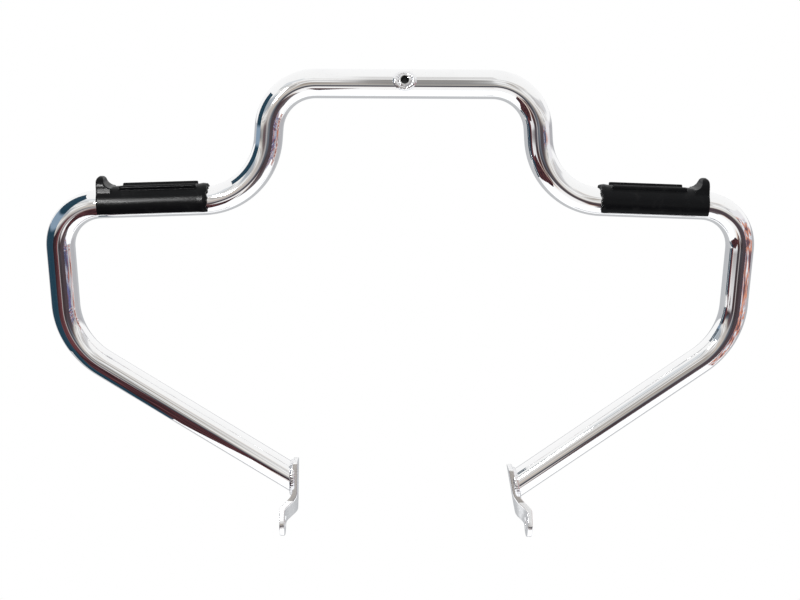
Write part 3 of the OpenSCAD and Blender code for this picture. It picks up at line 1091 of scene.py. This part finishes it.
def studioWorld():
    world = bpy.data.worlds.new("studioWorld")
    bpy.context.scene.world = world
    world.use_nodes = True
    tree = world.node_tree
    tree.nodes.clear()
    out = addNode(tree, "ShaderNodeOutputWorld")
    where = addNode(tree, "ShaderNodeTexCoord").outputs["Generated"]
    parts = addNode(tree, "ShaderNodeSeparateXYZ")
    wire(tree, where, parts.inputs[0])
    x, y, z = parts.outputs
    degrees = 180 / math.pi
    front = times(tree, y, -1.0)
    # degrees above level, to the right of the front, and from the front over the top
    rise = times(tree, mathNode(tree, "ARCSINE", z), degrees)
    aside = times(tree, mathNode(tree, "ARCTAN2", x, front), degrees)
    over = times(tree, mathNode(tree, "ARCTAN2", z, front), degrees)
    wobble = mathNode(tree, "SUBTRACT", noiseNode(tree, where, 5.0, 2.0), 0.5)
    wobble = times(tree, wobble, 6.0)
    over = plus(tree, over, times(tree, wobble, 0.35))
    turn = mathNode(tree, "DIVIDE", plus(tree, over, 180.0), 360.0)
    seen = toneRamp(tree, turn, [((angle + 180) / 360, colour) for angle, colour in reflectionPaint["round"]])
    # painted reflection: thin warm and cool lines across the front that glossy rays see, with nothing in the
    # scene that casts them
    layers = addNode(tree, "ShaderNodeCombineXYZ")
    wire(tree, mathNode(tree, "DIVIDE", over, reflectionPaint["lineSpacing"]), layers.inputs[0])
    wire(tree, mathNode(tree, "DIVIDE", aside, reflectionPaint["lineLength"]), layers.inputs[1])
    lines = noiseNode(tree, layers.outputs[0], 1.0, 2.0, 0.75)
    lines = rangeNode(tree, lines, 0.46, 0.58, 0.0, reflectionPaint["lineStrength"])
    ragged = plus(tree, aside, wobble)
    fine = noiseNode(tree, where, 14.0, 3.0, 0.6)

    def patch(left, right, low, high, strength, colour):
        across = bandNode(tree, ragged, left, right, 1.5)
        reach = times(tree, across, bandNode(tree, rise, low, high, 3.0))
        return mixColours(tree, times(tree, reach, strength), seen, colour)

    for left, right, low, high, strength, dark, light in reflectionPaint["patches"]:
        seen = patch(left, right, low, high, strength, mixColours(tree, fine, dark, light))
    tint = toneRamp(tree, noiseNode(tree, layers.outputs[0], 1.7, 1.0), reflectionPaint["lineTints"])
    lines = times(tree, lines, bandNode(tree, over, -3.0, 44.0, 5.0))
    seen = mixColours(tree, lines, seen, tint)
    choice = addNode(tree, "ShaderNodeTexVoronoi")
    choice.inputs["Scale"].default_value = 1.0
    spread = addNode(tree, "ShaderNodeCombineXYZ")
    for i, angle in enumerate((aside, rise)):
        wire(tree, mathNode(tree, "DIVIDE", angle, reflectionPaint["speckleSize"][i]), spread.inputs[i])
    wire(tree, spread.outputs[0], choice.inputs["Vector"])
    pick = addNode(tree, "ShaderNodeSeparateColor")
    wire(tree, choice.outputs["Color"], pick.inputs[0])
    specks = toneRamp(tree, pick.outputs[0], reflectionPaint["speckles"], steps=True)
    seen = patch(*reflectionPaint["speckled"], 0.9, specks)
    # painted reflection: glossy rays see the painted room built above, which lights nothing; camera and
    # transmission rays see plain white, and all other rays a soft pale light
    white, paintedReflection, soft = [addNode(tree, "ShaderNodeBackground") for i in range(3)]
    white.inputs["Color"].default_value = (1, 1, 1, 1)
    wire(tree, seen, paintedReflection.inputs["Color"])
    soft.inputs["Color"].default_value = (*reflectionPaint["softTint"], 1)
    soft.inputs["Strength"].default_value = studio["skyLight"]
    path = addNode(tree, "ShaderNodeLightPath")
    plain = mathNode(tree, "MAXIMUM", path.outputs["Is Camera Ray"], path.outputs["Is Transmission Ray"])
    mixOne, mixTwo = addNode(tree, "ShaderNodeMixShader"), addNode(tree, "ShaderNodeMixShader")
    wire(tree, path.outputs["Is Glossy Ray"], mixOne.inputs[0])
    wire(tree, soft.outputs[0], mixOne.inputs[1])
    wire(tree, paintedReflection.outputs[0], mixOne.inputs[2])
    wire(tree, plain, mixTwo.inputs[0])
    wire(tree, mixOne.outputs[0], mixTwo.inputs[1])
    wire(tree, white.outputs[0], mixTwo.inputs[2])
    wire(tree, mixTwo.outputs[0], out.inputs[0])


def makeFloor():
    (x0, x1), (y0, y1) = studio["floorX"], studio["floorY"]
    z = cadBox[0][2] - studio["floorDrop"]
    mesh = bpy.data.meshes.new("paleFloor")
    mesh.from_pydata([(x0, y0, z), (x1, y0, z), (x1, y1, z), (x0, y1, z)], [], [(0, 1, 2, 3)])
    floor = linkObject("paleFloor", mesh)
    material, tree, shader, vector = newMaterial("paleFloorPaint")
    shader.inputs["Base Color"].default_value = (0.62, 0.62, 0.62, 1)
    shader.inputs["Roughness"].default_value = 0.9
    shader.inputs["Emission Color"].default_value = (1, 1, 1, 1)
    path = addNode(tree, "ShaderNodeLightPath")
    seen = mathNode(tree, "MAXIMUM", path.outputs["Is Camera Ray"], path.outputs["Is Glossy Ray"])
    seen = mathNode(tree, "MAXIMUM", seen, path.outputs["Is Transmission Ray"])
    wire(tree, times(tree, seen, 0.55), shader.inputs["Emission Strength"])
    mesh.materials.append(material)


# Painted reflections: glowing coloured screens beside and below the guard, out of view, seen only in its
# polish, with the tone "pale", a painted light band, between the two heights of "palest"

deepTeal = [(0.0, (0.012, 0.045, 0.072)), (0.5, (0.022, 0.055, 0.085)), (1.0, (0.036, 0.070, 0.100))]
deepMaroon = [(0.0, (0.018, 0.010, 0.013)), (0.45, (0.05, 0.022, 0.026)), (1.0, (0.16, 0.055, 0.06))]
reflectionScreens = {
    "tealReflectionScreen": {
        "corners": [(-0.60, -0.19, -0.49), (-0.60, 0.18, -0.49), (-0.60, 0.18, 0.30), (-0.60, -0.19, 0.30)],
        "tones": deepTeal, "pale": (0.24, 0.33, 0.43), "palest": (-0.145, -0.05), "scale": (3.0, 1.0),
    },
    "tealReflectionSheet": {
        "corners": [(-1.10, -0.68, -0.70), (-0.45, 0.00, -0.70), (-0.45, 0.25, -0.70), (-1.10, 0.02, -0.70)],
        "tones": deepTeal, "scale": (3.0, 1.0),
    },
    "maroonReflectionSheet": {
        "corners": [(-1.05, -1.15, -0.705), (-0.06, -1.15, -0.705), (-0.14, -0.62, -0.705),
                    (-0.27, -0.46, -0.705), (-0.44, 0.02, -0.705), (-1.05, -0.61, -0.705)],
        "tones": deepMaroon, "scale": (9.0, 3.0),
    },
    "maroonReflectionScreen": {
        "corners": [(-0.62, -0.19, -0.50), (-0.475, -0.37, -0.50),
                    (-0.475, -0.37, -0.19), (-0.62, -0.19, -0.19)],
        "tones": deepMaroon, "scale": (9.0, 3.0),
    },
    "copperReflectionScreen": {
        "corners": [(0.60, -0.28, -0.60), (0.62, 0.03, -0.60), (0.62, 0.03, 0.0), (0.60, -0.28, 0.0)],
        "tones": [(0.0, (0.09, 0.06, 0.08)), (0.30, (0.26, 0.14, 0.15)), (0.38, (0.75, 0.27, 0.14)),
                  (0.58, (0.72, 0.40, 0.31)), (0.64, (0.22, 0.30, 0.42)), (0.8, (0.85, 0.84, 0.86))],
        "pale": (0.85, 0.84, 0.86), "palest": (-0.08, 0.05), "scale": (11.0, 26.0),
    },
}


def makeReflectionScreen(name, settings):
    mesh = bpy.data.meshes.new(name)
    mesh.from_pydata(settings["corners"], [], [tuple(range(len(settings["corners"])))])
    screen = linkObject(name, mesh)
    material, tree, shader, vector = newMaterial(name + "Paint")
    stretch = addNode(tree, "ShaderNodeMapping")
    level, upright = settings["scale"]
    stretch.inputs["Scale"].default_value = (level, level, upright)
    wire(tree, vector, stretch.inputs["Vector"])
    cloud = noiseNode(tree, stretch.outputs[0], 1.0, 3.0, 0.6)
    colour = toneRamp(tree, rangeNode(tree, cloud, 0.28, 0.72, 0.0, 1.0), settings["tones"])
    # a paler band painted across the screen, which shows as a painted light line in the polish
    if "palest" in settings:
        height = addNode(tree, "ShaderNodeSeparateXYZ")
        wire(tree, vector, height.inputs[0])
        palest = bandNode(tree, height.outputs["Z"], *settings["palest"], 0.015)
        colour = mixColours(tree, palest, colour, settings["pale"])
    shader.inputs["Base Color"].default_value = (0, 0, 0, 1)
    shader.inputs["Specular IOR Level"].default_value = 0.0
    shader.inputs["Emission Strength"].default_value = 1.0
    wire(tree, colour, shader.inputs["Emission Color"])
    mesh.materials.append(material)
    # painted reflection: the screen glows, yet no camera, diffuse, shadow or transmission ray sees it
    for kind in ("camera", "diffuse", "shadow", "transmission"):
        setattr(screen, "visible_" + kind, False)


def makeLamp(name, part):
    place, aim = Vector(studio[part + "Place"]), Vector(studio[part + "Aim"])
    data = bpy.data.lights.new(name, "AREA")
    data.shape = "RECTANGLE"
    data.size, data.size_y = studio[part + "Size"]
    data.energy = studio[part + "Power"]
    lamp = bpy.data.objects.new(name, data)
    bpy.context.scene.collection.objects.link(lamp)
    lamp.location = place
    lamp.rotation_euler = (aim - place).to_track_quat("-Z", "X").to_euler()
    return lamp


studioWorld()
makeFloor()
for name, settings in reflectionScreens.items():
    makeReflectionScreen(name, settings)
makeLamp("ceilingSoftbox", "ceiling").visible_glossy = False
makeLamp("padStrip", "strip").visible_diffuse = False
print("studio made")
